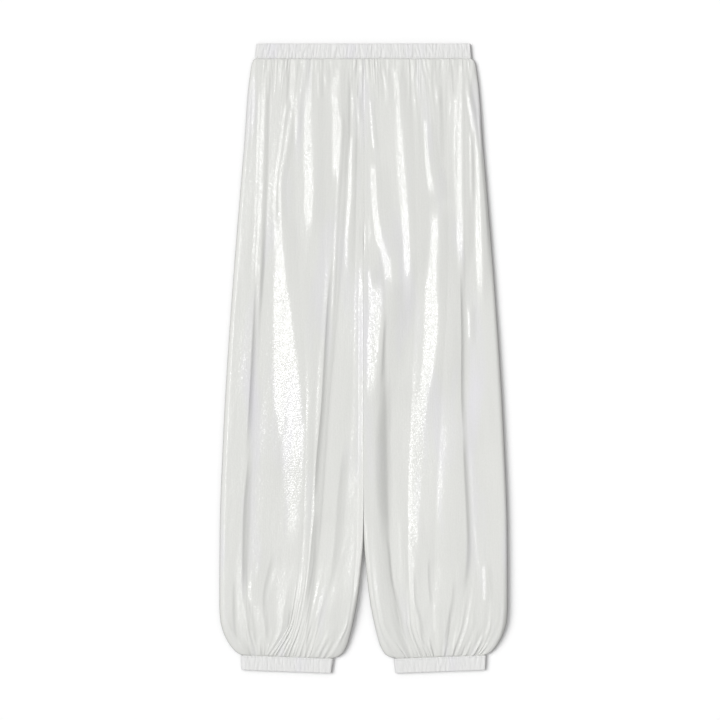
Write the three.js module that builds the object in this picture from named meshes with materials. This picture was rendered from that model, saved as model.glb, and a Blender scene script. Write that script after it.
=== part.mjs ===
// Balloon-leg satin trousers, lying on their back with the front up: a gathered elastic waistband, four leg
// panels and two gathered elastic cuffs. Millimetres. X runs to the wearer's left, Y to the waist, and Z off
// the table.
import * as THREE from "three";

// Driving sizes
const wall = 1.5; // leg cloth
const bandWall = 3; // folded casing with its elastic
const bandThickness = 8; // two casing walls and the air between them
const seamGap = 0.3;
const layerGap = 0.5; // front cloth over back cloth
const waistTopY = 504.5;
const waistbandHeight = 24;
const waistTopWidth = 345;
const waistSeamWidth = 349;
const crotchY = 160;
const crotchDip = 70; // the centre seams close on each other over this length above the crotch
const cuffHeight = 23.5;
const cuffSeamWidth = 150;
const cuffHemWidth = 145.5;
const cuffSeamY = -478;
const cuffOut = 122.5; // from the centre line to the middle of a cuff
const cuffTilt = THREE.MathUtils.degToRad(2.1);
const widestTurn = 13; // width of the soft turn at a side seam or inseam
const backFoldHeight = 1.5; // how far a fold lifts the back cloth off the table

// Gathers: count on each face, and depth
const waistbandGathers = 34;
const cuffGathers = 13;
const bandGatherDepth = 1;
const legGatherDepth = 1.8;
const steepestGather = 0.4; // depth over distance
const waistGatherLength = 60;
const cuffGatherLength = 95;

const waistSeamY = waistTopY - waistbandHeight - seamGap;

// Gives each row of a table its column names
const table = (columns, ...rows) =>
  rows.map((row) => Object.fromEntries(columns.map((name, i) => [name, row[i]])));

// Outline of one leg: distances from the centre line to the side seam and the inseam, and how full the
// cloth lies
const outline = table(
  ["y", "side", "inseam", "fullness"],
  [482, 176, 0, 3],
  [470, 180, 0, 4.5],
  [330, 192.5, 0, 8],
  [160, 206.5, 0, 10],
  [0, 218, 0, 11.5],
  [-126, 225, 0, 13],
  [-280, 230.5, 0.5, 14.5],
  [-357, 231, 6, 15],
  [-395, 231, 11, 15],
  [-420, 229.5, 16, 14],
  [-440, 225, 21, 12],
  [-456, 218, 26, 9.5],
  [-466, 211.5, 31, 7.5],
  [-473, 205, 37, 5.5],
  [-478, 197.5, 47.5, 3],
);

// Heights down the leg at which the fold tables give a fold's distance from the centre line
const foldLevels = { waist: 482, hip: 330, crotch: 160, knee: -60, calf: -290, shin: -420, cuff: -478 };

// Folds of the front, from the inseam out. upper and lower: height as a share of the fullness, above and
// below the crotch
const foldColumns = ["kind", ...Object.keys(foldLevels), "upper", "lower"];
const rightFrontFolds = table(
  foldColumns,
  ["crest", 4.5, 6, 8, 9.5, 16, 29, 60, 0.52, 0.66], // inner fold
  ["valley", 8, 10.5, 14, 18, 35, 66, 84, 0.42, 0.52], // inner crease
  ["crest", 12.5, 16.5, 24, 35, 56, 81, 95.5, 0.68, 0.68], // inseam fold
  ["valley", 18, 24, 34, 53, 70, 90, 106, 0.45, 0.45], // knee crease
  ["crest", 38, 37, 44, 62, 79, 97.5, 115, 0.82, 0.82], // knee fold
  ["valley", 67, 63, 63, 76, 86, 103, 124, 0.58, 0.7], // thigh hollow
  ["crest", 81, 82, 81, 85, 92, 108, 132, 0.8, 0.76], // hip fold
  ["valley", 103.5, 111, 105, 92, 97, 113, 142, 0.58, 0.7], // shin hollow
  ["crest", 119, 134, 129, 101, 105, 119, 153, 0.82, 0.85], // main fold
  ["valley", 150, 152, 159.5, 171, 181, 178, 167, 0.46, 0.42], // side crease
  ["crest", 158, 159.5, 165.5, 177, 188, 187.5, 181, 0.82, 0.85], // side fold
);
const leftFrontFolds = table(
  foldColumns,
  ["crest", 11, 12.5, 12, 12, 17, 33, 64.5, 0.62, 0.7], // inner fold
  ["valley", 24.5, 27.5, 32.5, 35.5, 41, 56.5, 77, 0.46, 0.3], // inner hollow
  ["crest", 53, 60.5, 67, 64, 61.5, 69.5, 88.5, 0.8, 0.6], // hip fold
  ["valley", 75.5, 80.5, 85.5, 77, 71, 77, 98, 0.56, 0.55], // thigh hollow
  ["crest", 98.5, 107, 118, 105, 90, 93, 107.5, 0.82, 0.82], // main fold
  ["valley", 130, 133, 135, 125, 114, 111, 116, 0.56, 0.62], // shin hollow
  ["crest", 153, 151.5, 155, 147, 140, 133, 126, 0.82, 0.78], // knee fold
  ["valley", 161, 163, 162.5, 164.5, 175.5, 164, 148, 0.5, 0.42], // side crease
  ["crest", 171.5, 178.5, 186.5, 189, 194, 189, 166, 0.84, 0.86], // side fold
);

// Folds pressed into the back, as shares of the way from the inseam to the side seam, and their height
// and width
const backFoldColumns = ["upper", "lower", "height", "width"];
const rightBackFolds = table(
  backFoldColumns,
  [0.2, 0.3, 0.8, 12],
  [0.44, 0.4, 1, 18],
  [0.68, 0.62, 0.7, 14],
  [0.86, 0.8, 0.9, 10],
);
const leftBackFolds = table(
  backFoldColumns,
  [0.16, 0.24, 0.9, 12],
  [0.37, 0.46, 0.7, 16],
  [0.6, 0.56, 1, 14],
  [0.84, 0.78, 0.8, 12],
);

// How finely the cloth is drawn
const rowSpacing = { front: 44, back: 62 };
const hemRows = [-395, -420, -440, -456, -466, -473, -478];
const stepsPerFold = 3;
const rollSteps = 4;

const mix = THREE.MathUtils.lerp;
const smooth = (from, to, at) =>
  from < to ? THREE.MathUtils.smoothstep(at, from, to) : 1 - THREE.MathUtils.smoothstep(at, to, from);

// The height of a smooth curve through points, which never overshoots them. Positions fall from first
// to last.
function curveAt(positions, heights, at) {
  const last = positions.length - 1;
  if (at >= positions[0]) return heights[0];
  if (at <= positions[last]) return heights[last];
  const i = positions.findIndex((p) => p < at) - 1;
  const run = (k) => positions[k + 1] - positions[k];
  const rise = (k) => (heights[k + 1] - heights[k]) / run(k);
  const slope = (k) => {
    if (k === 0) return rise(0);
    if (k === last) return rise(last - 1);
    const before = rise(k - 1);
    const after = rise(k);
    if (before * after <= 0) return 0;
    const [a, b] = [run(k - 1), run(k)];
    return (3 * (a + b)) / ((2 * b + a) / before + (b + 2 * a) / after);
  };
  const t = (at - positions[i]) / run(i);
  const bend = t * t * (3 - 2 * t);
  return (
    mix(heights[i], heights[i + 1], bend) +
    run(i) * (slope(i) * t * (1 - t) * (1 - t) - slope(i + 1) * t * t * (1 - t))
  );
}

const outlineLevels = outline.map((row) => row.y);
const outlineAt = (column, y) => curveAt(outlineLevels, outline.map((row) => row[column]), y);
const levelNames = Object.keys(foldLevels);
const foldOut = (fold, y) => curveAt(Object.values(foldLevels), levelNames.map((name) => fold[name]), y);
const belowCrotch = (y) => smooth(crotchY + crotchDip, crotchY - crotchDip, y);

// Where the front cloth's outer face lies when it has no fold under it
const groundZ = wall + backFoldHeight + layerGap + wall;
const edgeShare = 0.7; // a side's height, as a share of the fullness
const centreShare = 0.42;
const seamZ = (y) => 0.5 * (groundZ + edgeShare * outlineAt("fullness", y));
// 0 where the centre seams join left to right, 1 where the inseams join front to back
const inseamShare = (y) => smooth(crotchY + crotchDip, crotchY, y);
const inseamOut = (y) => Math.max(seamGap / 2, outlineAt("inseam", y));
const leanAt = (y) => smooth(-395, cuffSeamY, y) * Math.tan(cuffTilt);

// The lines that the front's surface passes through at one height, from the inseam to the side seam
function frontLines(folds, y) {
  const fullness = outlineAt("fullness", y);
  const side = outlineAt("side", y);
  const centreZ = groundZ + centreShare * fullness;
  const frontSeamZ = seamZ(y) + seamGap / 2;
  const inner = { kind: "edge", out: inseamOut(y), z: mix(centreZ, frontSeamZ, inseamShare(y)) };
  const lines = folds.map((fold) => ({
    kind: fold.kind,
    out: foldOut(fold, y),
    z: groundZ + fullness * mix(fold.upper, fold.lower, belowCrotch(y)),
  }));
  const [first, last] = [lines[0], lines.at(-1)];
  const outer = { kind: "edge", out: side, z: frontSeamZ };
  const turnZ = groundZ + fullness * edgeShare;
  const innerTurn = {
    kind: "turn",
    out: inner.out + Math.min(widestTurn, 1.2 * (first.z - seamZ(y)), 0.45 * (first.out - inner.out)),
    z: mix(mix(inner.z, first.z, 0.4), mix(inner.z, first.z, 0.92), inseamShare(y)),
  };
  const outerTurn = {
    kind: "turn",
    out: side - Math.min(widestTurn, 1.2 * (turnZ - seamZ(y)), 0.7 * (side - last.out)),
    z: turnZ,
  };
  return [inner, innerTurn, ...lines, outerTurn, outer];
}

// The lines of the back's lower face, which lies on the table between its folds
function backLines(folds, y) {
  const side = outlineAt("side", y);
  const inseam = inseamOut(y);
  const width = side - inseam;
  const turn = Math.min(widestTurn, 1.2 * seamZ(y));
  const lines = [{ kind: "edge", out: inseam, z: mix(0, seamZ(y) - seamGap / 2, inseamShare(y)) }];
  lines.push({ kind: "flat", out: inseam + turn, z: 0 });
  const fade = smooth(waistSeamY, waistSeamY - 60, y) * smooth(cuffSeamY, cuffSeamY + 50, y);
  for (const fold of folds) {
    const middle = inseam + width * mix(fold.upper, fold.lower, belowCrotch(y));
    const half = (0.5 * fold.width * width) / 230;
    lines.push({ kind: "flat", out: middle - half, z: 0 });
    lines.push({ kind: "flat", out: middle, z: backFoldHeight * fold.height * fade });
    lines.push({ kind: "flat", out: middle + half, z: 0 });
  }
  lines.push({ kind: "flat", out: side - turn, z: 0 });
  lines.push({ kind: "edge", out: side, z: seamZ(y) - seamGap / 2 });
  return lines;
}

// How far the cloth has risen from line a to line b at a share s of the way. Cloth is round on its crests,
// sharp in its creases, and turns in a quarter of an ellipse at a seam.
function riseBetween(a, b, s, turned) {
  const ellipse = (t) => mix(t * (2 - t), Math.sqrt(t * (2 - t)), turned);
  if (a.kind === "edge") return ellipse(s);
  if (b.kind === "edge") return 1 - ellipse(1 - s);
  if (a.kind === "valley") return s * (2 - s);
  if (b.kind === "valley") return s * s;
  return s * s * (3 - 2 * s);
}

// One row of points across a leg, from the inseam to the side seam
function rowAcross(lines, y, hand, steps, dipTowards) {
  const points = [];
  const gather = legGatherDepth * gatherAt(y);
  const inseam = lines[0].out;
  const width = lines.at(-1).out - inseam;
  for (let i = 0; i + 1 < lines.length; i++) {
    const [a, b] = [lines[i], lines[i + 1]];
    const rolled = a.kind === "edge" || b.kind === "edge";
    const count = rolled ? rollSteps : steps;
    const depth = rolled ? 0 : Math.min(gather, (steepestGather * (b.out - a.out)) / count);
    const turned = i === 0 ? inseamShare(y) : 1;
    for (let k = i === 0 ? 0 : 1; k <= count; k++) {
      const angle = (k / count) * (Math.PI / 2);
      const round = a.kind === "edge" ? 1 - Math.cos(angle) : Math.sin(angle);
      const s = rolled ? mix(k / count, round, turned) : k / count;
      const out = mix(a.out, b.out, s);
      const dip = depth * (points.length % 2 === 0 ? 0 : dipTowards);
      const z = mix(a.z, b.z, riseBetween(a, b, s, turned));
      const lean = leanAt(y) * (out - inseam - 0.5 * width);
      points.push(new THREE.Vector3(hand * out, y + lean, z + dip));
    }
  }
  return points;
}

// Rows from the waist seam to the cuff seam, closer together where the leg is drawn in
function rowHeights(spacing) {
  const top = waistSeamY;
  const upper = [top, top - 9, top - 24, top - 48];
  const count = Math.round((upper.at(-1) - hemRows[0]) / spacing);
  const evenAt = (_, i) => mix(upper.at(-1), hemRows[0], (i + 1) / count);
  const even = Array.from({ length: count - 1 }, evenAt);
  return [...upper, ...even, ...hemRows];
}

function gatherAt(y) {
  const belowWaist = smooth(waistSeamY - waistGatherLength, waistSeamY, y);
  const aboveCuff = smooth(cuffSeamY + cuffGatherLength, cuffSeamY, y);
  return Math.max(belowWaist, aboveCuff);
}

// A closed solid from a list of points and triangles, turned so that its faces point out
function solidFrom(points, triangles) {
  const volume = triangles.reduce((sum, [a, b, c]) => {
    const normal = new THREE.Vector3().crossVectors(points[b], points[c]);
    return sum + points[a].dot(normal);
  }, 0);
  const faces = volume < 0 ? triangles.map(([a, b, c]) => [a, c, b]) : triangles;
  return new THREE.BufferGeometry().setFromPoints(points).setIndex(faces.flat());
}

// Two triangles over each square of a grid, from point numbers given by a function
function squares(rows, columns, numberAt) {
  const faces = [];
  for (let i = 0; i < rows; i++) {
    for (let j = 0; j < columns; j++) {
      const [a, b] = [numberAt(i, j), numberAt(i, j + 1)];
      const [c, d] = [numberAt(i + 1, j + 1), numberAt(i + 1, j)];
      faces.push([a, b, c], [a, c, d]);
    }
  }
  return faces;
}

// A sheet of cloth: the rows are its outer face, and the inner face lies one wall's thickness behind it
function sheetGeometry(rows, outwards) {
  const [height, width] = [rows.length, rows[0].length];
  const outer = rows.flat();
  const face = new THREE.BufferGeometry().setFromPoints(outer);
  face.setIndex(squares(height - 1, width - 1, (i, j) => i * width + j).flat());
  face.computeVertexNormals();
  const flip = Math.sign(face.attributes.normal.getZ(Math.floor(width / 2)) * outwards);
  const normal = new THREE.Vector3();
  const inner = outer.map((point, i) => {
    normal.fromBufferAttribute(face.attributes.normal, i).multiplyScalar(flip);
    const atSide = i % width === 0 || i % width === width - 1;
    const atEnd = i < width || i >= outer.length - width;
    if (atEnd) normal.setY(0).normalize();
    if (atSide && Math.abs(normal.z) < 0.6) normal.setZ(0).normalize();
    return point.clone().addScaledVector(normal, -wall);
  });
  const numberAt = (layer, i, j) => layer * outer.length + i * width + j;
  const front = squares(height - 1, width - 1, (i, j) => numberAt(0, i, j));
  const back = squares(height - 1, width - 1, (i, j) => numberAt(1, i, width - 1 - j));
  const rim = [];
  for (let j = 0; j < width; j++) rim.push([0, j]);
  for (let i = 1; i < height; i++) rim.push([i, width - 1]);
  for (let j = width - 2; j >= 0; j--) rim.push([height - 1, j]);
  for (let i = height - 2; i > 0; i--) rim.push([i, 0]);
  const edge = squares(rim.length, 1, (k, layer) => numberAt(layer, ...rim[k % rim.length]));
  return solidFrom([...outer, ...inner], [...front, ...back, ...edge]);
}

function frontPanel(folds, hand) {
  const rows = rowHeights(rowSpacing.front).map((y) =>
    rowAcross(frontLines(folds, y), y, hand, stepsPerFold, -1),
  );
  return sheetGeometry(rows, 1);
}

function backPanel(folds, hand) {
  const rows = rowHeights(rowSpacing.back).map((y) =>
    rowAcross(backLines(folds, y), y, hand, 1, 0.6),
  );
  return sheetGeometry(rows, -1);
}

// Points around a flat ring: along the front, round one end, along the back and round the other
function ringStations(gathers) {
  const stations = [];
  const endSteps = 4;
  for (const [face, from] of [[1, -1], [-1, 1]]) {
    const facing = face > 0 ? 0 : Math.PI;
    for (let k = 0; k < 2 * gathers; k++) {
      stations.push({ along: from * (1 - k / gathers), turn: facing, gathered: k % 2 === 1 });
    }
    for (let k = 0; k < endSteps; k++) {
      stations.push({ along: -from, turn: facing + (k / endSteps) * Math.PI, gathered: false });
    }
  }
  return stations;
}

// A gathered casing: a flat ring whose outer face dips at each gather. Levels are measured down from its
// top edge.
function gatheredBand(gathers, levels) {
  const radius = bandThickness / 2;
  const stations = ringStations(gathers);
  const points = [];
  stations.forEach(({ along, turn, gathered }, k) => {
    const deepness = gathered ? 1 - 0.35 * Math.abs(Math.sin(2.3 * k)) : 0;
    const pointAt = (level, reach) => {
      const flat = level.width / 2 - radius;
      return new THREE.Vector3(
        along * flat + Math.sin(turn) * reach,
        -level.y,
        radius + Math.cos(turn) * reach,
      );
    };
    for (const level of levels) {
      points.push(pointAt(level, radius - bandGatherDepth * level.gather * deepness));
    }
    points.push(pointAt(levels.at(-1), radius - bandWall), pointAt(levels[0], radius - bandWall));
  });
  const around = levels.length + 2;
  const numberAt = (i, j) => (i % stations.length) * around + (j % around);
  return solidFrom(points, squares(stations.length, around, numberAt));
}

const waistband = gatheredBand(
  waistbandGathers,
  [
    { y: 0, width: waistTopWidth, gather: 0.6 },
    { y: 0.45 * waistbandHeight, width: mix(waistTopWidth, waistSeamWidth, 0.3), gather: 0.85 },
    { y: 0.8 * waistbandHeight, width: mix(waistTopWidth, waistSeamWidth, 0.7), gather: 0.85 },
    { y: waistbandHeight, width: waistSeamWidth, gather: 1 },
  ],
);
const cuff = gatheredBand(
  cuffGathers,
  [
    { y: 0, width: cuffSeamWidth, gather: 1 },
    { y: 0.3 * cuffHeight, width: mix(cuffSeamWidth, cuffHemWidth, 0.25), gather: 0.85 },
    { y: 0.7 * cuffHeight, width: mix(cuffSeamWidth, cuffHemWidth, 0.7), gather: 0.85 },
    { y: cuffHeight, width: cuffHemWidth, gather: 0.6 },
  ],
);

const satin = { color: 0xe3e3df, roughness: 0.35, metalness: 0.1 };

function piece(name, geometry) {
  geometry.computeVertexNormals();
  const made = new THREE.Mesh(geometry, new THREE.MeshStandardMaterial(satin));
  made.name = name;
  return made;
}

function cuffPiece(name, hand) {
  const made = piece(name, cuff);
  made.position.set(hand * cuffOut, cuffSeamY - seamGap, 0);
  made.rotation.z = hand * cuffTilt;
  return made;
}

const waistbandPiece = piece("waistband", waistband);
waistbandPiece.position.y = waistTopY;

const trousers = new THREE.Group();
trousers.add(
  waistbandPiece,
  piece("right_front_leg", frontPanel(rightFrontFolds, -1)),
  piece("left_front_leg", frontPanel(leftFrontFolds, 1)),
  piece("right_back_leg", backPanel(rightBackFolds, -1)),
  piece("left_back_leg", backPanel(leftBackFolds, 1)),
  cuffPiece("right_cuff", -1),
  cuffPiece("left_cuff", 1),
);

export default trousers;
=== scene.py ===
# Balloon-leg satin trousers laid flat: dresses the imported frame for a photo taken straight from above
import math

import bmesh
import bpy
import numpy as np
from mathutils import Matrix, Vector
from mathutils.bvhtree import BVHTree


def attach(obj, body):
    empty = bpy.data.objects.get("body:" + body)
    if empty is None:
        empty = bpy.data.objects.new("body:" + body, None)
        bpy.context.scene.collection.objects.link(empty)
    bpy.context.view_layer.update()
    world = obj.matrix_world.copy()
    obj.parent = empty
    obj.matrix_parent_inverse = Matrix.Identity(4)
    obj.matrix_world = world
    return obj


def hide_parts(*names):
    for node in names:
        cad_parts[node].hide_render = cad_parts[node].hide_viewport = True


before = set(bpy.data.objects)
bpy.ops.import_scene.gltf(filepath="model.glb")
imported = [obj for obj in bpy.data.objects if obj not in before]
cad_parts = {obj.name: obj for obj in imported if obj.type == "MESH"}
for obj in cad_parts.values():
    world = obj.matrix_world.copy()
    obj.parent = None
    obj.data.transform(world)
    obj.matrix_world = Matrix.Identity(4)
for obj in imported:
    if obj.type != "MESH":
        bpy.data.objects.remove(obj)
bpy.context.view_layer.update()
scene = bpy.context.scene
mm = 0.001


def addObject(name, data):
    made = bpy.data.objects.new(name, data)
    scene.collection.objects.link(made)
    return made


# The photo looks straight down, and 720 pixels cover 1152 mm of the table
cameraSetup = {
    "lens": 85,
    "sensor": 36,
    "across": 1152 * mm,
    "centreX": -5.9 * mm,
    "centreY": -2.4 * mm,
    "clothHeight": 10 * mm,
    "reach": 50,
}


def addCamera(setup):
    camera = addObject("camera", bpy.data.cameras.new("camera"))
    camera.data.lens = setup["lens"]
    camera.data.sensor_width = setup["sensor"]
    distance = setup["across"] * setup["lens"] / setup["sensor"]
    camera.location = (setup["centreX"], setup["centreY"], distance + setup["clothHeight"])
    camera.data.clip_end = setup["reach"]
    scene.camera = camera


addCamera(cameraSetup)


# Small helpers
def linearColour(hexValue):
    channels = [int(hexValue[i : i + 2], 16) / 255 for i in (1, 3, 5)]
    return (*[c / 12.92 if c <= 0.04045 else ((c + 0.055) / 1.055) ** 2.4 for c in channels], 1.0)


def addNode(tree, kind, settings=None, inputs=None):
    node = tree.nodes.new(kind)
    for name, value in (settings or {}).items():
        setattr(node, name, value)
    for name, value in (inputs or {}).items():
        if isinstance(value, bpy.types.NodeSocket):
            tree.links.new(value, node.inputs[name])
        else:
            node.inputs[name].default_value = value
    return node


def mix(a, b, share):
    return a + (b - a) * share


def smoothStep(start, end, at):
    t = np.clip((np.asarray(at, float) - start) / (np.asarray(end, float) - start), 0, 1)
    return t * t * (3 - 2 * t)


def curveAt(positions, values, at):  # a smooth curve through points that never overshoots; positions fall
    x, v = -np.asarray(positions, float), np.asarray(values, float)
    q = np.clip(-np.asarray(at, float), x[0], x[-1])
    run = np.diff(x)
    rise = np.diff(v) / run
    slope = np.concatenate([rise[:1], np.zeros(len(v) - 2), rise[-1:]])
    before, after = rise[:-1], rise[1:]
    same = before * after > 0
    w1, w2 = 2 * run[1:] + run[:-1], run[1:] + 2 * run[:-1]
    slope[1:-1][same] = ((w1 + w2)[same]) / (w1[same] / before[same] + w2[same] / after[same])
    i = np.clip(np.searchsorted(x, q, side="right") - 1, 0, len(run) - 1)
    t = (q - x[i]) / run[i]
    bend = t * t * (3 - 2 * t)
    return mix(v[i], v[i + 1], bend) + run[i] * (slope[i] * t * (1 - t) ** 2 - slope[i + 1] * t * t * (1 - t))


def valueNoise(x, y, seed):  # smooth noise from -1 to 1 with one lump per unit
    size = 64
    lattice = np.random.default_rng(seed).uniform(-1, 1, (size, size))
    ix, iy = np.floor(x).astype(int), np.floor(y).astype(int)
    tx, ty = x - ix, y - iy
    tx, ty = tx * tx * (3 - 2 * tx), ty * ty * (3 - 2 * ty)
    a, b = lattice[ix % size, iy % size], lattice[(ix + 1) % size, iy % size]
    c, d = lattice[ix % size, (iy + 1) % size], lattice[(ix + 1) % size, (iy + 1) % size]
    return mix(mix(a, b, tx), mix(c, d, tx), ty)


# The cut of a leg as it lies, in millimetres: the same lines as the solids follow
cut = {
    "waistSeam": 480.2,
    "cuffSeam": -478,
    "crotch": 160,
    "crotchDip": 70,
    "tilt": math.radians(2.1),
    "tiltFrom": -395,  # below this height the legs turn in to their tilted cuffs
    "ground": 5.0,  # the height of the front's lowest cloth
    "edgeShare": 0.7,  # heights as shares of the fullness
    "centreShare": 0.57,
    "gap": 0.1,
    "cloth": 0.8,
}
# How the cloth turns down at its long edges
edges = {
    "widest": 13,
    "steepness": 1.2,
    "toFirstFold": 0.45,
    "toLastFold": 0.7,
    "turnHeights": (0.4, 0.92),  # share of the first fold's height, at the centre seam and at the inseam
    "touch": 0.97,  # how far up the inseams lie against each other
    "touchFades": (-340, -240),
}
# How the ends of the legs run in under the casings
tuck = {"length": 2.5, "rise": 1.6, "end": -0.5, "narrowed": 4.5, "narrowRise": 2, "waistHalf": 176}
outlineColumns = ("y", "side", "inseam", "fullness")
outline = [
    (482, 176, 0, 3),
    (470, 180, 0, 4.5),
    (330, 192.5, 0, 8),
    (160, 206.5, 0, 10),
    (0, 218, 0, 11.5),
    (-126, 225, 0, 13),
    (-280, 230.5, 0.5, 14.5),
    (-357, 231, 6, 15),
    (-395, 231, 11, 15),
    (-420, 229.5, 16, 14),
    (-440, 225, 21, 12),
    (-456, 218, 26, 9.5),
    (-466, 211.5, 31, 7.5),
    (-473, 205, 37, 5.5),
    (-478, 197.5, 47.5, 3),
]
foldLevels = {"waist": 482, "hip": 330, "crotch": 160, "knee": -60, "calf": -290, "shin": -420, "cuff": -478}
# The rows below: kind, distance out at each of these levels, then the height above and below the crotch as a
# share of the fullness
rightFrontFolds = [
    ("crest", 4.5, 6, 8, 9.5, 16, 29, 60, 0.56, 0.7),  # inner fold
    ("valley", 8, 10.5, 14, 18, 35, 66, 84, 0.54, 0.67),  # inner crease
    ("crest", 12.5, 16.5, 24, 35, 56, 81, 95.5, 0.64, 0.67),  # inseam fold
    ("valley", 18, 24, 34, 53, 70, 90, 106, 0.61, 0.66),  # knee crease
    ("crest", 38, 37, 44, 62, 79, 97.5, 115, 0.74, 0.77),  # knee fold
    ("valley", 67, 63, 63, 76, 86, 103, 124, 0.7, 0.71),  # thigh hollow
    ("crest", 81, 82, 81, 85, 92, 108, 132, 0.76, 0.73),  # hip fold
    ("valley", 103.5, 111, 105, 92, 97, 113, 142, 0.71, 0.7),  # shin hollow
    ("crest", 119, 134, 129, 101, 105, 119, 153, 0.77, 0.71),  # main fold
    ("valley", 150, 152, 159.5, 171, 181, 178, 167, 0.68, 0.7),  # side crease
    ("crest", 158, 159.5, 165.5, 177, 188, 187.5, 181, 0.73, 0.72),  # side fold
]
leftFrontFolds = [
    ("crest", 11, 12.5, 12, 12, 17, 33, 64.5, 0.62, 0.76),  # inner fold
    ("valley", 24.5, 27.5, 32.5, 35.5, 41, 56.5, 77, 0.6, 0.5),  # inner hollow
    ("crest", 53, 60.5, 67, 64, 61.5, 69.5, 88.5, 0.7, 0.54),  # hip fold
    ("valley", 75.5, 80.5, 85.5, 77, 71, 77, 98, 0.67, 0.54),  # thigh hollow
    ("crest", 98.5, 107, 118, 105, 90, 93, 107.5, 0.76, 0.71),  # main fold
    ("valley", 130, 133, 135, 125, 114, 111, 116, 0.68, 0.66),  # shin hollow
    ("crest", 153, 151.5, 155, 147, 140, 133, 126, 0.74, 0.74),  # knee fold
    ("valley", 161, 163, 162.5, 164.5, 175.5, 164, 148, 0.68, 0.67),  # side crease
    ("crest", 171.5, 178.5, 186.5, 189, 194, 189, 166, 0.75, 0.69),  # side fold
]
# Folds of the back: place as a share of the leg's width above and below the crotch, height and width
backShape = {"foldHeight": 1.5, "legWidth": 230, "waistFade": 60, "cuffFade": 50}
rightBackFolds = [(0.2, 0.3, 0.8, 12), (0.44, 0.4, 1, 18), (0.68, 0.62, 0.7, 14), (0.86, 0.8, 0.9, 10)]
leftBackFolds = [(0.16, 0.24, 0.9, 12), (0.37, 0.46, 0.7, 16), (0.6, 0.56, 1, 14), (0.84, 0.78, 0.8, 12)]

# Small creases and soft ridges. Each drops steeply on its left and comes back on its right over its first
# number, in millimetres. Its stations, from the top down: y, distance out, half width of its left side, and
# height, below zero for a crease.
rightCreases = {
    "hip pleat": (10, [(477, 116, 2.2, -1), (430, 118.5, 2.2, -1), (350, 127, 2.2, -0.9)]),
    "inner pleat": (6, [(474, 20.6, 2, -0.8), (380, 20.2, 2, -0.8), (270, 18.5, 2, -0.8)]),
    "side line": (100, [(260, 160, 2, -1), (94, 168, 3.4, -2.6), (-66, 174, 4.6, -3.8),
        (-178, 178, 5.6, -4)]),
    "side line low": (120, [(-130, 176, 3, -1.4), (-258, 180, 6.4, -4.4), (-322, 182, 6, -4),
        (-400, 183, 5, -2)]),
    "knee line": (60, [(190, 42, 2.6, -1.2), (94, 51, 3.6, -2.6), (-66, 59, 4.2, -3.4),
        (-194, 68, 4.8, -3.8), (-290, 71, 4.4, -2.4)]),
    "knee line low": (60, [(-230, 69, 4, -1.6), (-306, 74, 5.4, -3.6), (-354, 79, 5.4, -3.4),
        (-410, 91, 3.8, -1.8)]),
    "knee ridge": (14, [(110, 67, 6, 0.2), (-66, 67.5, 6, 0.25), (-162, 75, 6, 0.25), (-242, 86, 5, 0.3),
        (-360, 89, 5, 0.3)]),
    "inner band": (40, [(-120, 19, 5, -1), (-194, 25, 7, -2.8), (-258, 28.5, 8, -3.4), (-346, 38, 7, -2.8),
        (-390, 53, 5, -1.6)]),
    "calf diagonal": (60, [(-300, 138, 3, -1), (-322, 142, 3.6, -1.6), (-386, 153, 4.2, -2),
        (-468, 146, 4, -1.3)]),
    "hem side": (18, [(-380, 179, 3.5, -1.4), (-430, 171, 3.5, -1.5), (-470, 166, 3, -1.2)]),
    "hem edge": (24, [(-345, 204, 2.4, -1), (-390, 204, 2.6, -1.3), (-430, 203, 2.5, -1),
        (-470, 196, 2.4, -0.9)]),
    "hem middle": (18, [(-395, 112, 3.4, -1.2), (-435, 116, 3.6, -1.6), (-472, 121, 3.2, -1.2)]),
}
leftCreases = {
    "hip hollow": (16, [(430, 131, 5, -1), (380, 131.5, 5, -1), (310, 133, 5, -1)]),
    "waist pleat": (8, [(476, 144, 2.2, -0.9), (450, 145.5, 2.2, -0.9), (415, 147, 2.2, -0.8)]),
    "side line": (26, [(160, 158.2, 2.2, -1.3), (100, 160, 2.6, -1.9), (30, 162, 3, -2.3),
        (-66, 163, 3.6, -2.8), (-140, 167, 3.6, -2.4)]),
    "side line low": (34, [(-90, 164.5, 3, -1.4), (-162, 168.5, 4.4, -3.6), (-306, 173.3, 4, -3.2),
        (-390, 165, 4, -2.4)]),
    "side ridge": (12, [(-110, 171, 4, 0.3), (-130, 171.7, 4, 0.4), (-226, 176.5, 4, 0.6),
        (-306, 183, 4, 0.5), (-380, 194, 4, 0.3)]),
    "valley top": (40, [(80, 39.5, 2.2, -1.2), (-2, 36, 3.4, -1.8), (-50, 37, 6, -2)]),
    "valley": (66, [(-10, 44, 7, -2), (-66, 46, 11, -5.4), (-130, 47, 15, -8), (-194, 47, 15, -7.8),
        (-258, 47, 12, -5.2), (-320, 50, 7, -2)]),
    "valley low": (40, [(-270, 39, 3, -1), (-306, 44, 2.8, -1.7), (-354, 48.5, 2.6, -1.7),
        (-380, 56, 3.4, -1.4), (-472, 78, 3.4, -1.2)]),
    "shin ridge": (12, [(-240, 60, 5, 0.4), (-310, 62, 5, 0.6), (-380, 66, 5, 0.5)]),
    "hem inner": (18, [(-330, 85, 2.8, -1.2), (-386, 87, 3, -1.5), (-420, 95, 3, -1.3),
        (-465, 100, 3, -1.1)]),
    "hem middle": (20, [(-315, 107.5, 2.6, -1.2), (-354, 108.5, 2.8, -1.5), (-400, 113, 3, -1.2)]),
    "hem side": (20, [(-345, 149, 3, -1.3), (-386, 147, 3.4, -1.7), (-430, 139, 3.6, -1.5),
        (-470, 133, 3, -1.1)]),
}

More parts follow.
